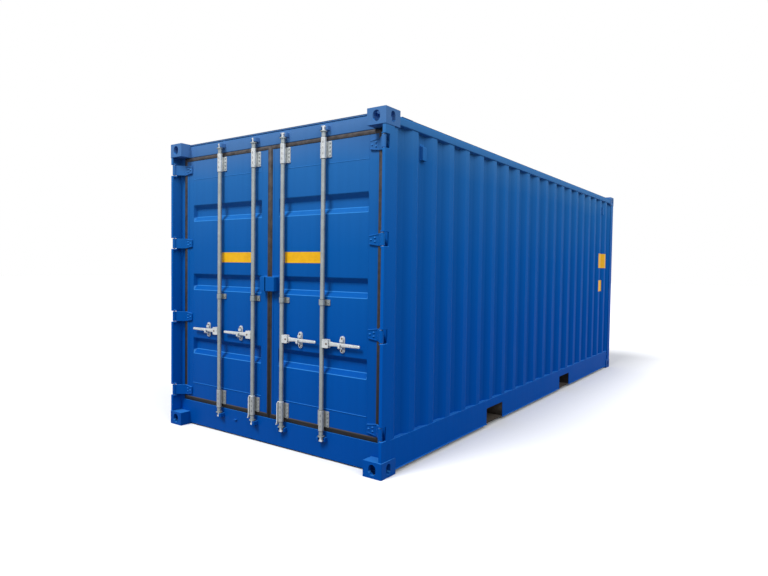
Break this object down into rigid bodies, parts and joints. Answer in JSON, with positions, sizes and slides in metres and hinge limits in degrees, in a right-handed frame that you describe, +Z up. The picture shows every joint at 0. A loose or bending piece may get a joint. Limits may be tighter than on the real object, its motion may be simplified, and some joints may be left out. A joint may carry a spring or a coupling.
{
  "type": "shipping container",
  "caption": "Steel freight box with corrugated walls, hinged end doors with turning lock rods and lifting handles, corner castings and fork pockets.",
  "frame": {"origin": "centre of the box's base, level with the bottom castings' lower faces", "axes": "+Z up, +Y along the container away from the doors, +X to the right as seen facing the doors"},
  "size_m": [2.438, 6.058, 2.591],
  "materials": {
    "blue_paint": "semi-gloss blue container paint",
    "galvanised_steel": "hot-dip galvanised steel",
    "rubber": "matt black rubber door seal",
    "plywood": "varnished plywood floor",
    "ventilator_cover": "cover painted with the wall"
  },
  "bodies": {
    "container_body": {"corner_castings_top": "blue_paint", "corner_castings_bottom": "blue_paint", "rear_corner_posts": "blue_paint", "front_corner_posts": "blue_paint", "door_header": "blue_paint", "door_sill": "blue_paint", "front_top_rail": "blue_paint", "front_bottom_rail": "blue_paint", "top_side_rails": "blue_paint", "bottom_side_rails": "blue_paint", "side_walls": "blue_paint", "front_wall": "blue_paint", "roof_panel": "blue_paint", "roof_corner_plates": "blue_paint", "cross_members": "blue_paint", "forklift_pockets": "blue_paint", "floor_boards": "plywood", "floor_centre_rail": "blue_paint", "threshold_plate": "blue_paint", "ventilator_covers": "ventilator_cover", "cam_keepers": "blue_paint", "hinge_pins": "galvanised_steel"},
    "left_door": {"left_door_frame": "blue_paint", "left_door_panel": "blue_paint", "left_door_gasket": "rubber", "left_door_hinges": "blue_paint", "left_door_rod_brackets": "galvanised_steel", "left_door_handle_catches": "galvanised_steel", "left_door_lock_box": "blue_paint"},
    "right_door": {"right_door_frame": "blue_paint", "right_door_panel": "blue_paint", "right_door_gasket": "rubber", "right_door_hinges": "blue_paint", "right_door_rod_brackets": "galvanised_steel", "right_door_handle_catches": "galvanised_steel", "right_door_lock_box": "blue_paint"},
    "left_outer_rod": {"left_outer_lock_rod": "galvanised_steel"},
    "left_outer_rod_handle": {"left_outer_handle": "galvanised_steel"},
    "left_inner_rod": {"left_inner_lock_rod": "galvanised_steel"},
    "left_inner_rod_handle": {"left_inner_handle": "galvanised_steel"},
    "right_outer_rod": {"right_outer_lock_rod": "galvanised_steel"},
    "right_outer_rod_handle": {"right_outer_handle": "galvanised_steel"},
    "right_inner_rod": {"right_inner_lock_rod": "galvanised_steel"},
    "right_inner_rod_handle": {"right_inner_handle": "galvanised_steel"}
  },
  "joints": [
    {"name": "right_door_hinge", "type": "hinge", "parent": "container_body", "child": "right_door", "pos_m": [1.19, -3.007, 1.3], "axis": [0, 0, 1], "range_deg": [0, 267]},
    {"name": "left_door_hinge", "type": "hinge", "parent": "container_body", "child": "left_door", "pos_m": [-1.19, -3.007, 1.3], "axis": [0, 0, -1], "range_deg": [0, 267]},
    {"name": "left_outer_rod_turn", "type": "hinge", "parent": "left_door", "child": "left_outer_rod", "pos_m": [-0.59998, -2.961, 1.3], "axis": [0, 0, -1], "range_deg": [-105, 0]},
    {"name": "left_inner_rod_turn", "type": "hinge", "parent": "left_door", "child": "left_inner_rod", "pos_m": [-0.16997, -2.961, 1.3], "axis": [0, 0, -1], "range_deg": [-105, 0]},
    {"name": "right_outer_rod_turn", "type": "hinge", "parent": "right_door", "child": "right_outer_rod", "pos_m": [0.59998, -2.961, 1.3], "axis": [0, 0, 1], "range_deg": [-105, 0]},
    {"name": "right_inner_rod_turn", "type": "hinge", "parent": "right_door", "child": "right_inner_rod", "pos_m": [0.16997, -2.961, 1.3], "axis": [0, 0, 1], "range_deg": [-105, 0]},
    {"name": "left_outer_handle_lift", "type": "hinge", "parent": "left_outer_rod", "child": "left_outer_rod_handle", "pos_m": [-0.65597, -2.961, 0.90507], "axis": [0, -1, 0], "range_deg": [-15, 0]},
    {"name": "left_inner_handle_lift", "type": "hinge", "parent": "left_inner_rod", "child": "left_inner_rod_handle", "pos_m": [-0.22597, -2.961, 0.90507], "axis": [0, -1, 0], "range_deg": [-15, 0]},
    {"name": "right_outer_handle_lift", "type": "hinge", "parent": "right_outer_rod", "child": "right_outer_rod_handle", "pos_m": [0.65597, -2.961, 0.90507], "axis": [0, 1, 0], "range_deg": [-15, 0]},
    {"name": "right_inner_handle_lift", "type": "hinge", "parent": "right_inner_rod", "child": "right_inner_rod_handle", "pos_m": [0.22597, -2.961, 0.90507], "axis": [0, 1, 0], "range_deg": [-15, 0]}
  ]
}
